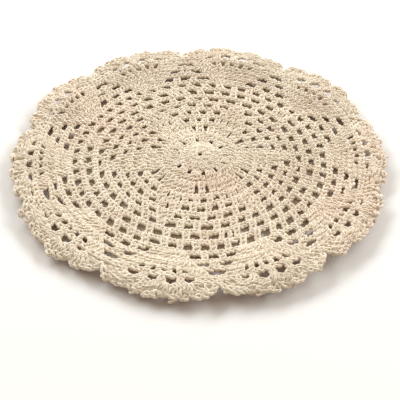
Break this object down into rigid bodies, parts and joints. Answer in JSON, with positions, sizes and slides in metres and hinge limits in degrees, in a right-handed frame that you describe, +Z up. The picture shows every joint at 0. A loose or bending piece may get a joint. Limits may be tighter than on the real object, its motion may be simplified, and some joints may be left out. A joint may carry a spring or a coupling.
{
  "type": "lace doily",
  "caption": "Round crocheted cotton doily with a swirling openwork middle and a scalloped fan border, lying flat.",
  "frame": {"origin": "on the surface it lies on, under the middle of its outline (the centre hole is within a millimetre of it)", "axes": "+Z up out of the face; +X and +Y in the plane of the doily, with one of the ten fans pointing close to +X"},
  "size_m": [0.199, 0.1982, 0.008],
  "materials": {
    "cotton_yarn": "matte twisted cotton yarn, unbleached cream"
  },
  "bodies": {
    "root": {"doily": "cotton_yarn"}
  },
  "joints": []
}
